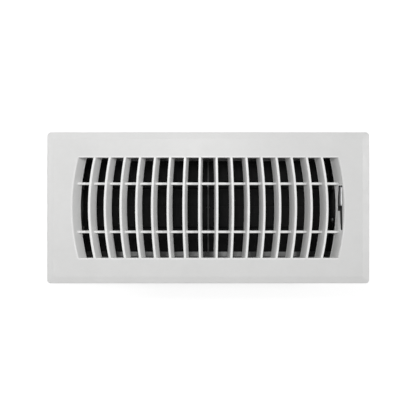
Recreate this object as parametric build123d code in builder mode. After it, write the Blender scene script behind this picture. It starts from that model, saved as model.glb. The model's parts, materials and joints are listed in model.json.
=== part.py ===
from build123d import *
import os
from math import cos, radians, sin, tan

# Louvred floor register for a 4 by 10 inch duct boot.
# A white moulded face carries bowed louvres that fan out towards its ends. A damper box snaps
# under the face, and two damper blades in it are worked by one thumb lever at the +X end.
# The origin is the middle of the rim that lies on the floor. +Z points up into the room.
# The model stands as it is with the damper shut. All sizes are in millimetres.

# Face plate
face_length = 292.0
face_width = 137.0
face_height = 5.0
face_corner_radius = 3.2
face_skin = 2.4
rim_wall = 2.2
bevel_width = 6.3
bevel_drop = 1.0
bevel_corner_radius = 0.8
face_edge = 0.5
rib_thickness = 1.6
rib_pitch = 52.0
rib_floor_gap = 0.6

# Louvred opening, with its borders measured from the edge of the face
end_border = 22.8
side_border = 23.1
grille_wall = 1.8
side_draft = 0.9
end_bow = 5.6
bow_growth = 0.8
end_wall_lean = 22.2
louvre_depth = 12.0
louvre_thickness = 2.1
middle_pitch = 16.4
louvre_pitch = 14.24
louvre_end_gap = 8.0
louvre_lean = 15.0
lean_growth = 0.26
louvre_nose = 0.35
bar_share = 0.4868
bar_thickness = 2.2
bar_recess = 5.8
bar_nose = 0.35
opening_lip = 0.5

# Collar under the face that the damper box snaps on to
collar_depth = 3.0
skirt_depth = 12.0
skirt_end_gap = 3.0
lug_width = 10.0
lug_height = 4.0
lug_reach = 1.4
lug_pitch = 78.0
lug_clearance = 0.3

# Damper box
box_wall = 1.8
box_fit = 0.2
box_corner_radius = 4.0
box_bottom_gap = 1.7
box_lead_in = 0.8
web_thickness = 0.9
web_rise = 6.0
ledge_thickness = 2.0
ledge_reach = 4.5
ledge_overlap = 1.5
ledge_gap = 0.3
boss_radius = 4.6

# Damper blades on their rods
damper_swing = 80.0
shut_tilt = 3.0
blade_lap = 1.5
rod_radius = 2.0
rod_flat = 1.5
rod_inset = 0.4
running_clearance = 0.05
push_clearance = 0.02
hub_radius = 3.8
blade_root_thickness = 2.0
blade_tip_thickness = 1.2
blade_corner_radius = 3.0
blade_rib_thickness = 1.2
blade_rib_pitch = 29.0
blade_rib_margin = 5.0
sweep_clearance = 2.1
side_gap = 0.3
nut_radius = 4.6
nut_thickness = 0.6
nut_collar_radius = 3.0
nut_collar_height = 0.5

# Cranks, link and thumb lever
lever_setback = 2.3
lever_thickness = 1.0
lever_corner_radius = 1.5
slot_clearance = 0.15
slot_bar_gap = 0.6
slot_lip = 0.8
slot_widening = 1.2
slot_wide_overrun = 2.9
slot_back_lean = 20.0
tab_width = 17.7
tab_end_gap = 1.0
tab_recess = 3.8
crank_thickness = 2.0
crank_hub_radius = 4.6
crank_eye_radius = 3.2
link_eye_radius = 3.5
link_gap = 0.4
rivet_radius = 1.5
rivet_head_radius = 2.4
rivet_head_thickness = 0.8
rivet_peen_thickness = 0.5
rivet_wall_gap = 0.35

# Places in the face that follow from those sizes
opening_half_length = face_length / 2 - end_border
opening_half_width = face_width / 2 - side_border
louvre_bottom = face_height - louvre_depth
bar_offset = bar_share * opening_half_width
bar_top = face_height - bar_recess
louvres_per_half = int((opening_half_length - louvre_end_gap - middle_pitch / 2) / louvre_pitch) + 1
end_wall_run = tan(radians(end_wall_lean))

# Lever, slot and crank along X, counted inwards from the leaning end wall
lever_x = opening_half_length - lever_setback
slot_half_length = bar_offset - bar_thickness / 2 - slot_bar_gap
tab_outer_y = slot_half_length - tab_end_gap
lever_half_travel = tab_outer_y - tab_width / 2
crank_radius = lever_half_travel / sin(radians(damper_swing / 2))
crank_x = lever_x - link_gap - crank_thickness
peen_x = lever_x + lever_thickness + running_clearance
box_inner_half_length = peen_x + rivet_peen_thickness + rivet_wall_gap

# Damper box and blade places that follow from the collar
collar_half_width = opening_half_width + grille_wall
box_inner_half_width = collar_half_width + box_fit
box_outer_half_width = box_inner_half_width + box_wall
box_outer_half_length = box_inner_half_length + box_wall
tilt_rise = tan(radians(shut_tilt))
blade_down_span = box_inner_half_width - ledge_reach + ledge_overlap - bar_offset
blade_up_span = 2 * bar_offset + blade_lap - blade_down_span
blade_down_side = blade_down_span / cos(radians(shut_tilt))
blade_up_side = blade_up_span / cos(radians(shut_tilt))
rod_z = louvre_bottom - blade_up_side - sweep_clearance
box_top = -collar_depth
box_bottom = rod_z - blade_down_side - box_bottom_gap
box_height = box_top - box_bottom
boss_face_x = crank_x + crank_thickness + side_gap
blade_right_x = crank_x - side_gap
blade_left_x = -boss_face_x + side_gap
web_side_x = web_thickness / 2 + side_gap
nut_length = nut_thickness + nut_collar_height
rod_left_x = -box_outer_half_length - nut_length - rod_inset
rod_right_x = box_outer_half_length - 2 * rod_inset
bearing_radius = rod_radius + running_clearance
pin_rise = crank_radius * cos(radians(damper_swing / 2))
pin_z = rod_z + pin_rise
lug_top = box_top - lug_height + lug_clearance
blade_sides = {"rear": bar_offset, "front": -bar_offset}
standing = (Align.CENTER, Align.CENTER, Align.MIN)


def bow_at(x):
    """How far a louvre at x bows outwards between its ends."""
    return end_bow * (abs(x) / opening_half_length) ** bow_growth


def lean_at(x):
    """How far a louvre at x leans outwards at the face, in degrees."""
    return louvre_lean * (abs(x) / opening_half_length) ** lean_growth


def face_section(z, inset, corner_radius):
    """The outline of the face at one height, drawn in by an inset."""
    with BuildSketch(Plane.XY.offset(z)) as section:
        RectangleRounded(face_length - 2 * inset, face_width - 2 * inset, corner_radius)
    return section.sketch


def opening_section(z, wall, spread=0):
    """The barrel-shaped opening at one height, grown by a wall all round and spread across."""
    half_length = opening_half_length - (face_height - z) * end_wall_run + wall
    half_width = opening_half_width + wall + spread
    corner_x = half_length - end_bow
    with BuildSketch(Plane.XY.offset(z)) as section:
        with BuildLine():
            right = ThreePointArc((corner_x, -half_width), (half_length, 0), (corner_x, half_width))
            left = ThreePointArc((-corner_x, half_width), (-half_length, 0), (-corner_x, -half_width))
            Line(right @ 1, left @ 0)
            Line(left @ 1, right @ 0)
        make_face()
    return section.sketch


def opening_ends(wall, spread=0):
    """The opening's sections at the face and, with its spread, at the lower edge of the louvres."""
    return [opening_section(face_height, wall), opening_section(louvre_bottom, wall, spread)]


def louvre_section(x, drop, inset):
    """The bowed louvre that reaches the face at x, cut level at a drop below the face."""
    outwards = 1 if x > 0 else -1
    middle_x = x - outwards * drop * tan(radians(lean_at(x)))
    end_y = opening_half_width + grille_wall
    end_x = middle_x - outwards * bow_at(x) * (end_y / opening_half_width) ** 2
    half = louvre_thickness / 2 - inset
    with BuildSketch(Plane.XY.offset(face_height - drop)) as section:
        with BuildLine():
            far = ThreePointArc((end_x + half, -end_y), (middle_x + half, 0), (end_x + half, end_y))
            near = ThreePointArc((end_x - half, end_y), (middle_x - half, 0), (end_x - half, -end_y))
            Line(far @ 1, near @ 0)
            Line(near @ 1, far @ 0)
        make_face()
    return section.sketch


def rod_section(x, y, clearance):
    """The rod's round section with one flat, on the plane across the rod at x."""
    radius = rod_radius + clearance
    with BuildSketch(Plane.YZ.offset(x)) as section:
        with Locations((y, rod_z)):
            Circle(radius)
        with Locations((y, rod_z + rod_flat + clearance)):
            Rectangle(2 * radius, radius, align=(Align.CENTER, Align.MIN), mode=Mode.SUBTRACT)
    return section.sketch


os.makedirs("parts", exist_ok=True)

# Louvres and cross bars with chamfered noses, trimmed inside the walls that carry them
louvre_places = [middle_pitch / 2 + louvre_pitch * index for index in range(louvres_per_half)]
with BuildPart() as grille:
    for x in [-place for place in louvre_places] + louvre_places:
        shoulder = louvre_section(x, louvre_nose, 0)
        loft([louvre_section(x, 0, louvre_nose), shoulder], ruled=True)
        loft([shoulder, louvre_section(x, louvre_depth, 0)], ruled=True)
    for y in (bar_offset, -bar_offset):
        with BuildPart() as bar:
            with Locations((0, y, louvre_bottom)):
                Box(2 * opening_half_length, bar_thickness, bar_top - louvre_bottom, align=standing)
            chamfer(bar.edges().filter_by(Axis.X).group_by(Axis.Z)[-1], length=bar_nose)
        add(bar.part)
    loft(opening_ends(grille_wall - side_draft / 2), ruled=True, mode=Mode.INTERSECT)

# Face plate: a bevelled shell with a leaning-ended opening, a collar and a skirt with snap lugs
with BuildPart() as faceplate:
    bevel_foot = face_height - bevel_drop
    bevel_rise = bevel_drop * face_edge / bevel_width
    extrude(face_section(0, 0, face_corner_radius), amount=bevel_foot - face_edge)
    rim_top = face_section(bevel_foot - face_edge, 0, face_corner_radius)
    bevel_start = face_section(bevel_foot + bevel_rise, face_edge, face_corner_radius - face_edge)
    bevel_end = face_section(face_height, bevel_width, bevel_corner_radius)
    loft([rim_top, bevel_start, bevel_end], ruled=True)
    hollow = face_section(0, rim_wall, face_corner_radius / 2)
    extrude(hollow, amount=face_height - face_skin, mode=Mode.SUBTRACT)

    # stiffening ribs between the rim and the collar
    rib_height = face_height - face_skin - rib_floor_gap
    ribs_per_half = int((opening_half_length - end_bow) / rib_pitch)
    rib_places = [rib_pitch * index for index in range(-ribs_per_half, ribs_per_half + 1)]
    with Locations([(x, 0, rib_floor_gap) for x in rib_places]):
        Box(rib_thickness, face_width - rim_wall, rib_height, align=standing)
    with Locations([(0, y, rib_floor_gap) for y in (bar_offset, -bar_offset)]):
        Box(face_length - rim_wall, rib_thickness, rib_height, align=standing)

    # walls of the opening, then the thick collar and the thin skirt along its two long sides
    loft(opening_ends(grille_wall), ruled=True)
    skirt_half_length = opening_half_length - louvre_depth * end_wall_run - end_bow - skirt_end_gap
    collar_height = face_height - face_skin / 2 - box_top
    with Locations((0, 0, box_top)):
        Box(2 * skirt_half_length, 2 * box_outer_half_width, collar_height, align=standing)
    with Locations((0, 0, -skirt_depth)):
        Box(2 * skirt_half_length, 2 * collar_half_width, skirt_depth, align=standing)
        Box(
            2 * skirt_half_length,
            2 * (opening_half_width + side_draft),
            skirt_depth + louvre_bottom,
            align=standing,
            mode=Mode.SUBTRACT,
        )
    loft(opening_ends(0, side_draft), ruled=True, mode=Mode.SUBTRACT)
    lip = [opening_section(face_height, opening_lip), opening_section(face_height - opening_lip, 0)]
    loft(lip, ruled=True, mode=Mode.SUBTRACT)
    add(grille.part)

    # snap lugs with a flat top and a lead-in slope below
    for x in (-lug_pitch, 0, lug_pitch):
        for side in (1, -1):
            with BuildSketch(Plane.YZ.offset(x - lug_width / 2)):
                with BuildLine():
                    Polyline(
                        (side * collar_half_width, lug_top),
                        (side * (collar_half_width + lug_reach), lug_top),
                        (side * collar_half_width, lug_top - lug_height),
                        close=True,
                    )
                make_face()
            extrude(amount=lug_width)

    # keyhole slot for the lever through the leaning wall at the +X end, relieved behind the wall
    slot_inner_x = lever_x - slot_clearance
    slot_outer_x = lever_x + lever_thickness + slot_clearance
    slot_bottom = louvre_bottom - grille_wall
    slot_top = face_height - slot_lip
    relief_top = face_height - (opening_half_length - slot_outer_x) / end_wall_run
    relief_x = slot_outer_x + (relief_top - slot_bottom) * tan(radians(slot_back_lean))
    for inner_x, start_y in (
        (slot_inner_x, -slot_half_length),
        (slot_inner_x - slot_widening, -slot_wide_overrun),
    ):
        with BuildSketch(Plane.XZ.offset(-start_y)):
            with BuildLine():
                Polyline(
                    (inner_x, slot_bottom),
                    (relief_x, slot_bottom),
                    (slot_outer_x, relief_top),
                    (slot_outer_x, slot_top),
                    (inner_x, slot_top),
                    close=True,
                )
            make_face()
        extrude(amount=slot_half_length - start_y, dir=(0, 1, 0), mode=Mode.SUBTRACT)
faceplate.part.label = "faceplate"
export_step(faceplate.part, "parts/faceplate.step")

# Damper box: a sleeve with a middle web, blade ledges, rod bearings and windows for the lugs
with BuildPart() as damper_box:
    with BuildSketch(Plane.XY.offset(box_bottom)):
        RectangleRounded(2 * box_outer_half_length, 2 * box_outer_half_width, box_corner_radius)
    extrude(amount=box_height)
    lead_in_edges = damper_box.edges().group_by(Axis.Z)[0]
    chamfer(lead_in_edges, length=box_lead_in)
    with BuildSketch(Plane.XY.offset(box_bottom)):
        RectangleRounded(
            2 * box_inner_half_length,
            2 * box_inner_half_width,
            box_corner_radius - box_wall,
        )
    extrude(amount=box_height, mode=Mode.SUBTRACT)

    # the middle web ties the long walls and carries both rods
    with Locations((0, 0, box_bottom + box_lead_in)):
        Box(
            web_thickness,
            2 * box_inner_half_width + box_wall,
            rod_z + web_rise - box_bottom - box_lead_in,
            align=standing,
        )

    # the rear blade shuts down on to its ledge, and the front blade shuts up against its own
    rear_ledge_reach = box_inner_half_width - bar_offset - blade_up_span + ledge_overlap
    ledge_offset = blade_tip_thickness / 2 + ledge_gap
    rear_ledge_top = rod_z + (blade_up_span - ledge_overlap) * tilt_rise - ledge_offset
    front_ledge_bottom = rod_z - (blade_down_span - ledge_overlap) * tilt_rise + ledge_offset
    with Locations((0, box_inner_half_width - rear_ledge_reach, rear_ledge_top)):
        Box(
            2 * box_inner_half_length + box_wall,
            rear_ledge_reach + box_wall / 2,
            ledge_thickness,
            align=(Align.CENTER, Align.MIN, Align.MAX),
        )
    with Locations((0, ledge_reach - box_inner_half_width, front_ledge_bottom)):
        Box(
            2 * box_inner_half_length + box_wall,
            ledge_reach + box_wall / 2,
            ledge_thickness,
            align=(Align.CENTER, Align.MAX, Align.MIN),
        )

    # rod bearings: bosses inside both end walls, blind at the lever end
    boss_length = box_inner_half_length - boss_face_x + box_wall / 2
    for y in blade_sides.values():
        with BuildSketch(Plane.YZ.offset(boss_face_x), Plane.YZ.offset(-boss_face_x - boss_length)):
            with Locations((y, rod_z)):
                Circle(boss_radius)
        extrude(amount=boss_length)
        with BuildSketch(Plane.YZ.offset(-box_outer_half_length - box_wall)):
            with Locations((y, rod_z)):
                Circle(bearing_radius)
        extrude(amount=2 * box_outer_half_length + box_wall - rod_inset, mode=Mode.SUBTRACT)

    # windows for the snap lugs
    with Locations([(x, 0, lug_top + lug_clearance) for x in (-lug_pitch, 0, lug_pitch)]):
        Box(
            lug_width + 2 * lug_clearance,
            4 * box_outer_half_width,
            lug_height + 2 * lug_clearance,
            align=(Align.CENTER, Align.CENTER, Align.MAX),
            mode=Mode.SUBTRACT,
        )
damper_box.part.label = "damper_box"
export_step(damper_box.part, "parts/damper_box.step")

for side, y in blade_sides.items():
    # Pivot rod with a flat that keys the blades and the crank
    with BuildPart() as rod:
        extrude(rod_section(rod_left_x, y, 0), amount=rod_right_x - rod_left_x)
    rod.part.label = f"{side}_pivot_rod"
    export_step(rod.part, f"parts/{side}_pivot_rod.step")

    # Half blades either side of the web: a hub tube with tapered wings and ribs underneath
    spans = {"left": (blade_left_x, -web_side_x), "right": (web_side_x, blade_right_x)}
    for end, (start_x, stop_x) in spans.items():
        with BuildPart() as blade:
            blade_plane = Plane(origin=(0, y, rod_z), x_dir=(0, 1, tilt_rise), z_dir=(1, 0, 0))
            with BuildSketch(blade_plane.offset(start_x)):
                with BuildLine():
                    Polyline(
                        (-blade_down_side, -blade_tip_thickness / 2),
                        (0, -blade_root_thickness / 2),
                        (blade_up_side, -blade_tip_thickness / 2),
                        (blade_up_side, blade_tip_thickness / 2),
                        (0, blade_root_thickness / 2),
                        (-blade_down_side, blade_tip_thickness / 2),
                        close=True,
                    )
                make_face()
            extrude(amount=stop_x - start_x)
            tip_edges = blade.edges().filter_by(
                lambda edge: abs(edge.length - blade_tip_thickness) < side_gap
            )
            fillet(tip_edges, blade_corner_radius)
            with BuildSketch(blade_plane.offset(start_x)):
                Circle(hub_radius)
            extrude(amount=stop_x - start_x)
            rib_count = int((stop_x - start_x) / blade_rib_pitch)
            rib_start = (start_x + stop_x - blade_rib_pitch * (rib_count - 1)) / 2
            for index in range(rib_count):
                rib_x = rib_start + blade_rib_pitch * index - blade_rib_thickness / 2
                with BuildSketch(blade_plane.offset(rib_x)):
                    with BuildLine():
                        Polyline(
                            (blade_rib_margin - blade_down_side, 0),
                            (0, -hub_radius),
                            (blade_up_side - blade_rib_margin, 0),
                            close=True,
                        )
                    make_face()
                extrude(amount=blade_rib_thickness)
            extrude(rod_section(start_x, y, push_clearance), amount=stop_x - start_x, mode=Mode.SUBTRACT)
        blade.part.label = f"{side}_blade_{end}"
        export_step(blade.part, f"parts/{side}_blade_{end}.step")

    # Crank keyed on the rod, leaning towards +Y with the damper shut
    pin_y = y + lever_half_travel
    with BuildPart() as crank:
        with BuildSketch(Plane.YZ.offset(crank_x)):
            with Locations((y, rod_z)):
                Circle(crank_hub_radius)
            with Locations((pin_y, pin_z)):
                Circle(crank_eye_radius)
            make_hull()
            with Locations((pin_y, pin_z)):
                Circle(rivet_radius + push_clearance, mode=Mode.SUBTRACT)
        extrude(amount=crank_thickness)
        extrude(rod_section(crank_x, y, push_clearance), amount=crank_thickness, mode=Mode.SUBTRACT)
    crank.part.label = f"{side}_crank"
    export_step(crank.part, f"parts/{side}_crank.step")

    # Rivet through the crank and the lever's eye, with a head inside and a thin peened end outside
    with BuildPart() as rivet:
        for start_x, length, radius in (
            (crank_x - rivet_head_thickness, rivet_head_thickness, rivet_head_radius),
            (crank_x, peen_x - crank_x, rivet_radius),
            (peen_x, rivet_peen_thickness, rivet_head_radius),
        ):
            with BuildSketch(Plane.YZ.offset(start_x)):
                with Locations((pin_y, pin_z)):
                    Circle(radius)
            extrude(amount=length)
    rivet.part.label = f"{side}_link_rivet"
    export_step(rivet.part, f"parts/{side}_link_rivet.step")

    # Push-on nut that keeps the rod in the box at the end away from the lever
    with BuildPart() as nut:
        nut_x = -box_outer_half_length - running_clearance
        for length, radius in ((nut_thickness, nut_radius), (nut_length, nut_collar_radius)):
            with BuildSketch(Plane.YZ.offset(nut_x - length)):
                with Locations((y, rod_z)):
                    Circle(radius)
                    Circle(rod_radius + push_clearance, mode=Mode.SUBTRACT)
            extrude(amount=length)
    nut.part.label = f"{side}_push_nut"
    export_step(nut.part, f"parts/{side}_push_nut.step")

# Lever: a flat strip that links both cranks, with the thumb tab standing up through the slot
with BuildPart() as lever:
    tab_top = face_height - tab_recess
    with BuildSketch(Plane.YZ.offset(lever_x)):
        with Locations(*[(y + lever_half_travel, pin_z) for y in blade_sides.values()]):
            Circle(link_eye_radius)
        make_hull()
        with Locations((tab_outer_y - tab_width / 2, pin_z)):
            Rectangle(tab_width, tab_top - pin_z, align=(Align.CENTER, Align.MIN))
        with Locations(*[(y + lever_half_travel, pin_z) for y in blade_sides.values()]):
            Circle(rivet_radius + running_clearance, mode=Mode.SUBTRACT)
    extrude(amount=lever_thickness)
    fillet(lever.edges().filter_by(Axis.X).group_by(Axis.Z)[-1], lever_corner_radius)
lever.part.label = "thumb_lever"
export_step(lever.part, "parts/thumb_lever.step")
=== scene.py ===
# %% [markdown]
# # A louvred floor register
#
# This lesson dresses a white moulded floor register: a bevelled face with bowed louvres, a damper box
# below it, and two dark blades that a thumb lever opens and shuts. The shapes and the joints come
# ready-made from a CAD model, so the work here is finishes, light and camera. The CAD pieces are
# loaded first and never moved. Everything is in metres.

# %% Load the CAD pieces
import json

import bpy
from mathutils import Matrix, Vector


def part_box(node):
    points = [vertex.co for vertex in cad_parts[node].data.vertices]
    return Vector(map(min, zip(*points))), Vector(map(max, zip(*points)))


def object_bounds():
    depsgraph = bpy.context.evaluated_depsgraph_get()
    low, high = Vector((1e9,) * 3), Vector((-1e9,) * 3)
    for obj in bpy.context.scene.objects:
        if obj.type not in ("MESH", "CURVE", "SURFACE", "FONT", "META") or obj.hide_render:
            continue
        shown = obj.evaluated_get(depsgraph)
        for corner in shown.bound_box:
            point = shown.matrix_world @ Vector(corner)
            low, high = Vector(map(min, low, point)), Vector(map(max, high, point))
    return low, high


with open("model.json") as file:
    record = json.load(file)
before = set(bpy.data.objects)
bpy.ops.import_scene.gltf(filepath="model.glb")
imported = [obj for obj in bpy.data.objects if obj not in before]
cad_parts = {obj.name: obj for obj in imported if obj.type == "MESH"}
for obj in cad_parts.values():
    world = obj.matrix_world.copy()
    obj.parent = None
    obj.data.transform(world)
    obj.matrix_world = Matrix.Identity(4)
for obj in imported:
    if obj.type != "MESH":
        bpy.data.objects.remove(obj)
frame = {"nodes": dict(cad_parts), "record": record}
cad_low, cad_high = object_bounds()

scene = bpy.context.scene
nodes = frame["nodes"]
print(len(nodes), "pieces, box in mm:", [round(1000 * size, 1) for size in cad_high - cad_low])

# %% [markdown]
# ## Building a node sheet
#
# A shader is a sheet of boxes joined by wires. It could be drawn by hand in the shader editor, but a
# small helper makes each box in one step: what kind it is, where it lies on the sheet, and what goes
# into it. A setting is called after one of the box's inputs, or by the input's number where several
# have the same name. Its value is typed in, or wired from another box. Any other name sets one of the
# box's options. A second helper starts a group, which is a sheet that many materials can share.


# %% Boxes and groups
def add_box(tree, kind, place, settings=None):
    """Adds a node to a sheet and fills in its inputs, by value or by wire, and its options."""
    box = tree.nodes.new("ShaderNode" + kind)
    box.location = place
    for name, value in (settings or {}).items():
        if isinstance(name, str) and name not in box.inputs:
            setattr(box, name, value)
        elif isinstance(value, bpy.types.NodeSocket):
            tree.links.new(value, box.inputs[name])
        else:
            box.inputs[name].default_value = value
    return box


def new_group(name, inputs, outputs):
    """Starts an empty shader group with named sockets and returns its sheet, way in and way out."""
    tree = bpy.data.node_groups.new(name, "ShaderNodeTree")
    for socket, kind, default in inputs:
        made = tree.interface.new_socket(socket, in_out="INPUT", socket_type="NodeSocket" + kind)
        made.default_value = default
    for socket, kind in outputs:
        tree.interface.new_socket(socket, in_out="OUTPUT", socket_type="NodeSocket" + kind)
    way_in = tree.nodes.new("NodeGroupInput")
    way_in.location = (-900, 0)
    way_out = tree.nodes.new("NodeGroupOutput")
    way_out.location = (700, 0)
    return tree, way_in.outputs, way_out.inputs


# %% [markdown]
# ## Four boxes that come again and again
#
# Noise gives a cloudy value at every spot. Map Range stretches a value from one range to another, which
# sharpens or softens a cloud. Math does a sum, and two masks that are multiplied leave the region
# where both are 1. Mix lays one colour over another by a mask. Mix and Math have several inputs of one
# name, so theirs go by number: in a Mix box the two colours are 6 and 7, and the result is 2.


# %% Noise, range, sum and mix
def add_noise(tree, spot, place, settings):
    """Makes noise over a spot's coordinates."""
    return add_box(tree, "TexNoise", place, {"Vector": spot, **settings}).outputs["Fac"]


def rescale(tree, value, place, ranges):
    """Maps a value from one range to another and keeps it there."""
    return add_box(tree, "MapRange", place, {"Value": value, **ranges}).outputs["Result"]


def work_out(tree, operation, place, *terms, clamp=False):
    """Does one sum, such as MULTIPLY, on numbers or wires."""
    settings = {"operation": operation, "use_clamp": clamp, **dict(enumerate(terms))}
    return add_box(tree, "Math", place, settings).outputs["Value"]


def mix_over(tree, under, over, mask, place):
    """Lays a colour over another one by a mask."""
    settings = {"data_type": "RGBA", "Factor": mask, 6: under, 7: over}
    return add_box(tree, "Mix", place, settings).outputs[2]


# %% [markdown]
# ## Tone drift
#
# No moulding or paint is one flat colour: the resin flows unevenly and the surface yellows a little
# where it was handled. Slow noise, a few centimetres across, slides between two close colours.
# It is read in object coordinates, so the pattern stays on the piece when the piece turns.

# %% Group: tone drift
drift, drift_in, drift_out = new_group(
    "Tone Drift",
    [
        ("Light", "Color", (0.9, 0.9, 0.9, 1)),
        ("Dark", "Color", (0.8, 0.8, 0.8, 1)),
        ("Scale", "Float", 30.0),
    ],
    [("Color", "Color")],
)
where = add_box(drift, "TexCoord", (-900, -300)).outputs
slow = {"Scale": drift_in["Scale"], "Detail": 7.0, "Roughness": 0.8}
cloud = add_noise(drift, where["Object"], (-600, -100), slow)
spread = rescale(drift, cloud, (-300, -100), {"From Min": 0.32, "From Max": 0.68})
tint = mix_over(drift, drift_in["Dark"], drift_in["Light"], spread, (200, 0))
drift.links.new(tint, drift_out["Color"])
print(drift.name, "has", len(drift.nodes), "nodes")

# %% [markdown]
# ## Moulded grain
#
# The mould of such a register is etched, so the plastic comes out satin, with a fine pebbled skin. The
# pebbles are under half a millimetre across. Two noises make them: a small sharp one for the height
# and a larger one that lets the gloss come and go. Real displacement would need millions of
# faces for this, so the grain is a bump.

# %% Group: moulded grain
grain, grain_in, grain_out = new_group(
    "Moulded Grain",
    [("Scale", "Float", 2200.0), ("Smoothest", "Float", 0.35), ("Roughest", "Float", 0.5)],
    [("Height", "Float"), ("Roughness", "Float")],
)
where = add_box(grain, "TexCoord", (-900, -300)).outputs
fine = {"Scale": grain_in["Scale"], "Detail": 2.0, "Roughness": 0.5}
pebbles = add_noise(grain, where["Object"], (-500, 200), fine)
broad = {"Scale": 90.0, "Detail": 5.0, "Roughness": 0.6}
patches = add_noise(grain, where["Object"], (-500, -100), broad)
gloss_range = {
    "From Min": 0.3,
    "From Max": 0.7,
    "To Min": grain_in["Smoothest"],
    "To Max": grain_in["Roughest"],
}
gloss = rescale(grain, patches, (-100, -100), gloss_range)
grain.links.new(pebbles, grain_out["Height"])
grain.links.new(gloss, grain_out["Roughness"])
print(grain.name, "has", len(grain.nodes), "nodes")

# %% [markdown]
# ## Worn edges and a painted highlight
#
# Feet, shoes and a cloth polish the raised edges first. On the white face the same mask also lays a
# painted highlight on the louvres' thin noses. The Ambient Occlusion node, turned to look inside the
# solid, tells where there is little material behind a spot: at an edge or on a nose. A patchy noise
# breaks the band up. Vertex paint or pointiness would need a dense mesh, and this works on any.

# %% Group: worn edges and painted highlight
# On the dark mouldings and the zinc this mask is wear; on the white face it also carries a painted
# highlight.
edge_wear_and_highlight, wear_in, wear_out = new_group(
    "Edge Wear And Highlight",
    [("Width", "Float", 0.0006), ("Strength", "Float", 1.0), ("Patchiness", "Float", 0.3)],
    [("Edge", "Float")],
)
where = add_box(edge_wear_and_highlight, "TexCoord", (-900, -300)).outputs
inward = {"samples": 8, "inside": True, "Distance": wear_in["Width"]}
behind = add_box(edge_wear_and_highlight, "AmbientOcclusion", (-600, 150), inward)
little = rescale(edge_wear_and_highlight, behind.outputs["AO"], (-200, 150), {"From Min": 0.96, "From Max": 0.72})
smudge = add_noise(edge_wear_and_highlight, where["Object"], (-600, -300), {"Scale": 260.0, "Detail": 4.0})
least = work_out(edge_wear_and_highlight, "SUBTRACT", (-400, -250), 1.0, wear_in["Patchiness"])
patchy = rescale(edge_wear_and_highlight, smudge, (-200, -250), {"From Min": 0.35, "From Max": 0.6, "To Min": least})
broken = work_out(edge_wear_and_highlight, "MULTIPLY", (100, 50), little, patchy)
edge = work_out(edge_wear_and_highlight, "MULTIPLY", (300, 50), broken, wear_in["Strength"], clamp=True)
edge_wear_and_highlight.links.new(edge, wear_out["Edge"])
print(edge_wear_and_highlight.name, "has", len(edge_wear_and_highlight.nodes), "nodes")

# %% [markdown]
# ## Settled dust
#
# A register moves air, so a thin film of dust lies on whatever faces up. The piece's own normal says
# how much a spot faces up, and noise makes the film uneven. The normal is the object's and not the
# world's, so the dust turns with a blade and doesn't slide over it.

# %% Group: settled dust
dust, dust_in, dust_out = new_group(
    "Settled Dust",
    [("Amount", "Float", 0.2), ("Scale", "Float", 120.0)],
    [("Dust", "Float")],
)
where = add_box(dust, "TexCoord", (-900, -300)).outputs
facing = add_box(dust, "SeparateXYZ", (-600, 150), {"Vector": where["Normal"]}).outputs
upward = rescale(dust, facing["Z"], (-400, 150), {"From Min": 0.2, "From Max": 0.95})
wispy = {"Scale": dust_in["Scale"], "Detail": 6.0, "Roughness": 0.65}
wisps = add_noise(dust, where["Object"], (-600, -150), wispy)
uneven = rescale(dust, wisps, (-400, -150), {"From Min": 0.35, "From Max": 0.75})
lying = work_out(dust, "MULTIPLY", (-100, 50), upward, uneven)
thin = work_out(dust, "MULTIPLY", (150, 50), lying, dust_in["Amount"], clamp=True)
dust.links.new(thin, dust_out["Dust"])
print(dust.name, "has", len(dust.nodes), "nodes")

# %% [markdown]
# ## Starting and ending a finish
#
# The finishes share one skeleton: a drifting base colour, a lighter or barer edge mixed over it, on
# plastic also dust mixed over that, then roughness and a bump. The helpers start a material, place the
# groups above in it, each with the finish's own values, and wire what they give into the shader. The
# Principled BSDF stays in the material, where numbers that are the same all over are typed straight
# into its sockets.


# %% Finish helpers
def new_finish(name, shader_values):
    """Makes a material with one Principled BSDF and returns the material, its sheet and the shader."""
    material = bpy.data.materials.new(name)
    material.use_nodes = True
    tree = material.node_tree
    shader = tree.nodes["Principled BSDF"]
    shader.location = (500, 0)
    tree.nodes["Material Output"].location = (800, 0)
    for socket, value in shader_values.items():
        shader.inputs[socket].default_value = value
    return material, tree, shader


def place_group(tree, group, place, values):
    """Places a shader group on a sheet with its own input values and returns what it puts out."""
    return add_box(tree, "Group", place, {"node_tree": group, **values}).outputs


def wire_shader(tree, shader, colour, roughness, height, strength, depth):
    """Wires colour, roughness and a bump into the shader."""
    relief = {"Strength": strength, "Distance": depth, "Height": height}
    bump = add_box(tree, "Bump", (250, -350), relief)
    tree.links.new(colour, shader.inputs["Base Color"])
    tree.links.new(roughness, shader.inputs["Roughness"])
    tree.links.new(bump.outputs["Normal"], shader.inputs["Normal"])


# %% [markdown]
# ## White satin moulding
#
# The face is injection-moulded in white polystyrene: neutral and satin. The louvres' noses are smoother
# than the rest, and their colour is lightened as a painted highlight. A second material there would need
# faces of its own and would end in a hard line, so one edge mask lays the painted highlight and lowers
# the roughness instead. A mask by place keeps both to the grille and off the outer rim: it is 1 inside
# a rectangle around the middle. The dust is kept faint, as on a new one.

# %% Finish: white moulding
white_moulding, tree, shader = new_finish("white_moulding", {"Metallic": 0.0, "IOR": 1.55})
whites = {"Light": (0.755, 0.755, 0.75, 1), "Dark": (0.71, 0.71, 0.705, 1), "Scale": 22.0}
tone = place_group(tree, drift, (-700, 200), whites)
edges = place_group(tree, edge_wear_and_highlight, (-700, -50), {"Width": 0.0017, "Strength": 1.0, "Patchiness": 0.2})
film = place_group(tree, dust, (-700, -300), {"Amount": 0.06, "Scale": 150.0})
skin = place_group(tree, grain, (-700, -550), {"Scale": 2400.0, "Smoothest": 0.38, "Roughest": 0.52})
print(white_moulding.name, "started")
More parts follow.
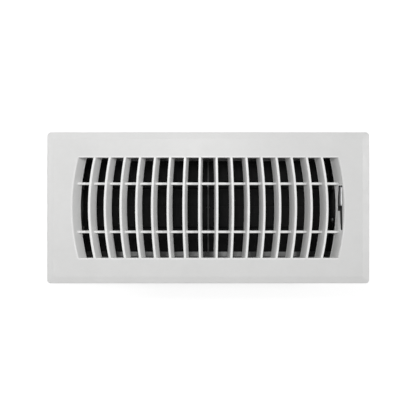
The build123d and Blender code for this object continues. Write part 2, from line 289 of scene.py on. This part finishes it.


# %% Polish the noses of the grille and paint a highlight on them
def in_rectangle(tree, place, half_length, half_width):
    """Is 1 inside a rectangle around the middle, as seen from above, and 0 outside it."""
    x, y = place
    where = add_box(tree, "TexCoord", place).outputs
    spot = add_box(tree, "SeparateXYZ", (x + 200, y), {"Vector": where["Object"]}).outputs
    away_x = work_out(tree, "ABSOLUTE", (x + 400, y), spot["X"])
    away_y = work_out(tree, "ABSOLUTE", (x + 400, y - 160), spot["Y"])
    in_length = work_out(tree, "LESS_THAN", (x + 600, y), away_x, half_length)
    in_width = work_out(tree, "LESS_THAN", (x + 600, y - 160), away_y, half_width)
    return work_out(tree, "MULTIPLY", (x + 800, y), in_length, in_width)


grille_half_length = 0.1265
grille_half_width = 0.0475
painted_nose_highlight = (0.98, 0.98, 0.975, 1)
nose_roughness = 0.30
dust_grey = (0.62, 0.61, 0.59, 1)
on_grille = in_rectangle(tree, (-1700, 0), grille_half_length, grille_half_width)
polish_and_highlight = work_out(tree, "MULTIPLY", (-500, 0), edges["Edge"], on_grille)
# The lighter colour on the noses is a painted highlight; the same mask lowers the roughness as real
# polish.
colour = mix_over(tree, tone["Color"], painted_nose_highlight, polish_and_highlight, (-300, 200))
colour = mix_over(tree, colour, dust_grey, film["Dust"], (0, 200))
smoothing = {"To Min": skin["Roughness"], "To Max": nose_roughness}
roughness = rescale(tree, polish_and_highlight, (0, -150), smoothing)
wire_shader(tree, shader, colour, roughness, skin["Height"], strength=0.25, depth=0.00003)
print(white_moulding.name, "has", len(tree.nodes), "nodes")

# %% [markdown]
# ## Dark mouldings
#
# The damper box is dark grey and the blades and cranks are black, so that the shut damper disappears
# behind the louvres. Both are dull: the etched mould leaves a coarse skin that scatters
# what little it reflects, so the specular level is set low. Edges go paler where pieces rub.
# One function makes both, because only their colours differ.


# %% Finish: grey and black moulding
def dark_moulding(name, light, dark, rubbed, dusty):
    """A dull dark plastic that drifts between two colours, with paler edges and a film of dust."""
    material, tree, shader = new_finish(name, {"Metallic": 0.0, "IOR": 1.5, "Specular IOR Level": 0.08})
    tone = place_group(tree, drift, (-700, 200), {"Light": light, "Dark": dark, "Scale": 35.0})
    edges = place_group(tree, edge_wear_and_highlight, (-700, -50), {"Width": 0.0005, "Strength": 0.6, "Patchiness": 0.7})
    film = place_group(tree, dust, (-700, -300), {"Amount": 0.15, "Scale": 90.0})
    skin = place_group(tree, grain, (-700, -550), {"Scale": 1500.0, "Smoothest": 0.5, "Roughest": 0.7})
    colour = mix_over(tree, tone["Color"], rubbed, edges["Edge"], (-300, 200))
    colour = mix_over(tree, colour, dusty, film["Dust"], (0, 200))
    wire_shader(tree, shader, colour, skin["Roughness"], skin["Height"], strength=0.3, depth=0.00005)
    return material


grey_moulding = dark_moulding(
    "grey_moulding",
    light=(0.105, 0.105, 0.105, 1),
    dark=(0.085, 0.085, 0.085, 1),
    rubbed=(0.12, 0.12, 0.12, 1),
    dusty=(0.16, 0.157, 0.153, 1),
)
black_moulding = dark_moulding(
    "black_moulding",
    light=(0.008, 0.008, 0.0083, 1),
    dark=(0.005, 0.005, 0.0052, 1),
    rubbed=(0.020, 0.020, 0.020, 1),
    dusty=(0.022, 0.0215, 0.021, 1),
)
print(grey_moulding.name, "and", black_moulding.name, "made")

# %% [markdown]
# ## Ledges with painted shade and light
#
# Two ledges along the box's long walls stop the blades. Their tops are painted darker than the box as
# painted shade, with pale patches about 45 mm apart, but not near the ends, painted as pools of light
# that falls in through the louvres. The ledges are the only level faces of the box that lie both near
# a long wall and deep down, so three simple tests on place and normal pick them out. Ping-pong turns
# the place along X into a zigzag, which makes the patches repeat, and noise makes them uneven. Two
# mixes lay the painted shade and then the painted light over the box.

# %% Find the ledges
ledge_start = 0.0415
ledge_depth = -0.020
nearly_level = 0.9
tree = grey_moulding.node_tree
where = add_box(tree, "TexCoord", (-1300, 700)).outputs
spot = add_box(tree, "SeparateXYZ", (-1100, 750), {"Vector": where["Object"]}).outputs
facing = add_box(tree, "SeparateXYZ", (-1100, 550), {"Vector": where["Normal"]}).outputs
away_y = work_out(tree, "ABSOLUTE", (-900, 800), spot["Y"])
near_wall = work_out(tree, "GREATER_THAN", (-700, 800), away_y, ledge_start)
deep = work_out(tree, "LESS_THAN", (-700, 650), spot["Z"], ledge_depth)
level = work_out(tree, "GREATER_THAN", (-700, 550), facing["Z"], nearly_level)
deep_by_wall = work_out(tree, "MULTIPLY", (-500, 700), near_wall, deep)
ledge = work_out(tree, "MULTIPLY", (-300, 650), deep_by_wall, level)
print("ledges start", 1000 * ledge_start, "mm from the middle")

# %% Paint shade and pools of light on the ledges
light_pool_pitch = 0.045
to_ends = {"From Min": 0.085, "From Max": 0.096, "To Min": 1.0, "To Max": 0.0}
painted_shade_grey = (0.035, 0.035, 0.035, 1)
painted_light_grey = (0.36, 0.36, 0.36, 1)
zigzag = work_out(tree, "PINGPONG", (-900, 1100), spot["X"], light_pool_pitch / 2)
light_pools = rescale(tree, zigzag, (-700, 1100), {"From Min": 0.003, "From Max": 0.0065, "To Min": 0.2})
cloud = add_noise(tree, where["Object"], (-1100, 400), {"Scale": 55.0, "Detail": 3.0})
uneven = rescale(tree, cloud, (-700, 400), {"From Min": 0.35, "From Max": 0.6, "To Min": 0.55})
away_x = work_out(tree, "ABSOLUTE", (-900, 950), spot["X"])
fading = rescale(tree, away_x, (-700, 950), to_ends)
patchy = work_out(tree, "MULTIPLY", (-500, 1000), light_pools, uneven)
faded_light_pools = work_out(tree, "MULTIPLY", (-300, 850), fading, patchy)
painted_light_mask = work_out(tree, "MULTIPLY", (-100, 700), ledge, faded_light_pools)
base_colour = tree.nodes["Principled BSDF"].inputs["Base Color"]
# The dark grey on the ledge tops is painted shade, and the pale patches are painted pools of light.
colour = mix_over(tree, base_colour.links[0].from_socket, painted_shade_grey, ledge, (100, 450))
colour = mix_over(tree, colour, painted_light_grey, painted_light_mask, (300, 300))
tree.links.new(colour, base_colour)
print("patches", 1000 * light_pool_pitch, "mm apart")

# %% [markdown]
# ## Zinc-plated steel
#
# Rods, rivets, push nuts and the thumb lever are plated steel. The plate is mottled and shows fine lines
# from drawing the wire or rolling the strip. Noise that is squeezed across the lines and stretched
# along them draws these: the rods' lines run along X and the strip's along Y. The rods have dull plate.
# Thumbs keep the lever bright: its top edge mirrors the room, and its side mirrors the dark box.
# The shader's own anisotropy would stretch the highlights too, but it would show no single lines.


# %% Finish: zinc steel on rods and strip
def plated_steel(name, line_scale, light, dark, bare):
    """Mottled zinc plate with fine lines, whose scale is given along X, Y and Z, and barer edges."""
    material, tree, shader = new_finish(name, {"Metallic": 1.0})
    tone = place_group(tree, drift, (-700, 200), {"Light": light, "Dark": dark, "Scale": 320.0})
    edges = place_group(tree, edge_wear_and_highlight, (-700, -50), {"Width": 0.0003, "Strength": 0.7, "Patchiness": 0.5})
    where = add_box(tree, "TexCoord", (-1100, -300)).outputs
    squeeze = add_box(tree, "Mapping", (-900, -300), {"Vector": where["Object"], "Scale": line_scale})
    lines = add_noise(tree, squeeze.outputs["Vector"], (-700, -300), {"Scale": 1.0, "Detail": 3.0})
    sheen = rescale(tree, lines, (-300, -300), {"To Min": 0.22, "To Max": 0.42})
    colour = mix_over(tree, tone["Color"], bare, edges["Edge"], (-300, 200))
    wire_shader(tree, shader, colour, sheen, lines, strength=0.12, depth=0.00003)
    return material


along_line = 40.0
across_line = 3000.0
drawn_zinc = plated_steel(
    "drawn_zinc",
    line_scale=(along_line, across_line, across_line),
    light=(0.50, 0.51, 0.52, 1),
    dark=(0.40, 0.41, 0.43, 1),
    bare=(0.62, 0.62, 0.62, 1),
)
rolled_zinc = plated_steel(
    "rolled_zinc",
    line_scale=(across_line, along_line, across_line),
    light=(0.90, 0.90, 0.91, 1),
    dark=(0.80, 0.81, 0.82, 1),
    bare=(0.94, 0.94, 0.94, 1),
)
print(drawn_zinc.name, "and", rolled_zinc.name, "made")

# %% [markdown]
# ## Putting the finishes on
#
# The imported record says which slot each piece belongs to, so one small table from slot to finish
# dresses nearly all of them. Only the lever has its own: its plate is brighter than the rods', and its
# lines run another way. The material changes, and the CAD mesh stays as it is.

# %% Dress the pieces
finish_of_slot = {
    "white_plastic": white_moulding,
    "grey_plastic": grey_moulding,
    "black_plastic": black_moulding,
    "zinc_steel": drawn_zinc,
}
finish_of_piece = {"thumb_lever": rolled_zinc}
for row in frame["record"]["subparts"]:
    piece = nodes[row["node"]]
    finish = finish_of_piece.get(row["node"], finish_of_slot[row["material_slot"]])
    piece.data.materials.clear()
    piece.data.materials.append(finish)

# %% [markdown]
# ## Floor
#
# The register stands on its damper box on a plain pale floor, as on a photographer's table. The floor is
# a diffuse sheet that keeps the shadow, and what the camera, a mirror or glass sees of it gets a
# little white light of its own. That brings the paper to white without more light on the object.
# Inside the box the paper stays as dark as a duct, so the glow stops at the box's walls.

# %% Make the floor
floor_reach = 3.0
square = [(-1, -1), (1, -1), (1, 1), (-1, 1)]
corners = [(x * floor_reach, y * floor_reach, cad_low.z) for x, y in square]
floor_mesh = bpy.data.meshes.new("floor")
floor_mesh.from_pydata(corners, [], [(0, 1, 2, 3)])
floor = bpy.data.objects.new("floor", floor_mesh)
scene.collection.objects.link(floor)
print("floor at z", round(cad_low.z, 4))


# %% Finish: pale paper
def seen_straight(tree, place):
    """Is 1 for rays from the camera and for rays that a mirror or glass sends on."""
    x, y = place
    path = add_box(tree, "LightPath", place).outputs
    first = work_out(tree, "MAXIMUM", (x + 200, y), path["Is Camera Ray"], path["Is Glossy Ray"])
    return work_out(tree, "MAXIMUM", (x + 400, y), first, path["Is Transmission Ray"])


paper_grey = (0.5, 0.5, 0.5, 1)
paper_glow = 0.72
paper = bpy.data.materials.new("pale_paper")
paper.use_nodes = True
tree = paper.node_tree
tree.nodes.clear()
box_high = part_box("damper_box")[1]
under_box = in_rectangle(tree, (-1600, -350), box_high[0], box_high[1])
around_box = work_out(tree, "SUBTRACT", (-600, -350), 1.0, under_box)
seen = work_out(tree, "MULTIPLY", (-400, -50), seen_straight(tree, (-1100, -50)), around_box)
strength = work_out(tree, "MULTIPLY", (-200, -50), seen, paper_glow)
matt = add_box(tree, "BsdfDiffuse", (0, 150), {"Color": paper_grey}).outputs["BSDF"]
glow = add_box(tree, "Emission", (0, -50), {"Strength": strength}).outputs["Emission"]
both = add_box(tree, "AddShader", (250, 50), {0: matt, 1: glow}).outputs["Shader"]
add_box(tree, "OutputMaterial", (450, 50), {"Surface": both})
floor_mesh.materials.append(paper)
print(paper.name, "has", len(tree.nodes), "nodes")

# %% [markdown]
# ## Light
#
# The photo itself tells where its light came from. The bars' short shadows fall towards the near side,
# and the face is brightest at the middle of its far side, so the key lamp hangs beyond that side, about
# as high as the camera. Louvre walls that face right are light far down, so a lamp stands high on
# the right. Those that face left are light only at the top, and the face grows darker from left
# to right, so a small lamp stands low and near on the left. An even sky fills the rest. To the camera,
# and in a mirror or glass, the sky is white.

# %% Make the sky
sky_level = 0.40
white_level = 1.0
world = bpy.data.worlds.new("soft_room")
world.use_nodes = True
scene.world = world
tree = world.node_tree
background = tree.nodes["Background"]
background.inputs["Color"].default_value = (1, 1, 1, 1)
straight = seen_straight(tree, (-900, 0))
brightness = rescale(tree, straight, (-200, 0), {"To Min": sky_level, "To Max": white_level})
tree.links.new(brightness, background.inputs["Strength"])
print("sky lights the register at", sky_level)


# %% Make the lamps
def add_lamp(name, place, size, power):
    """Adds a square soft lamp that points at the middle of the register."""
    lamp = bpy.data.lights.new(name, "AREA")
    lamp.shape = "SQUARE"
    lamp.size = size
    lamp.energy = power
    holder = bpy.data.objects.new(name, lamp)
    holder.location = place
    holder.rotation_euler = (-Vector(place)).to_track_quat("-Z", "Y").to_euler()
    holder.visible_camera = False
    scene.collection.objects.link(holder)


add_lamp("key_lamp", place=(-0.03, 0.16, 0.48), size=0.10, power=0.67)
add_lamp("right_lamp", place=(7.4, 1.2, 8.5), size=1.6, power=335.0)
add_lamp("left_lamp", place=(-0.45, 0.08, 0.22), size=0.12, power=0.33)

# %% [markdown]
# ## Camera
#
# The register was seen straight from above, its middle in the middle of the square picture. The louvre
# walls show how near the lens was: the further out a louvre stands, the more of its inner wall
# shows. That gives a camera about 450 mm above the face.

# %% Place the camera
camera_height = 0.450
picture_width = 0.3761
off_middle = -0.0002
camera_data = bpy.data.cameras.new("camera")
camera_data.sensor_width = 36.0
camera_data.lens = camera_data.sensor_width * camera_height / picture_width
camera = bpy.data.objects.new("camera", camera_data)
camera.location = (off_middle, off_middle, cad_high.z + camera_height)
scene.collection.objects.link(camera)
scene.camera = camera
scene.view_settings.view_transform = "Standard"
print("lens", round(camera_data.lens, 2), "mm")
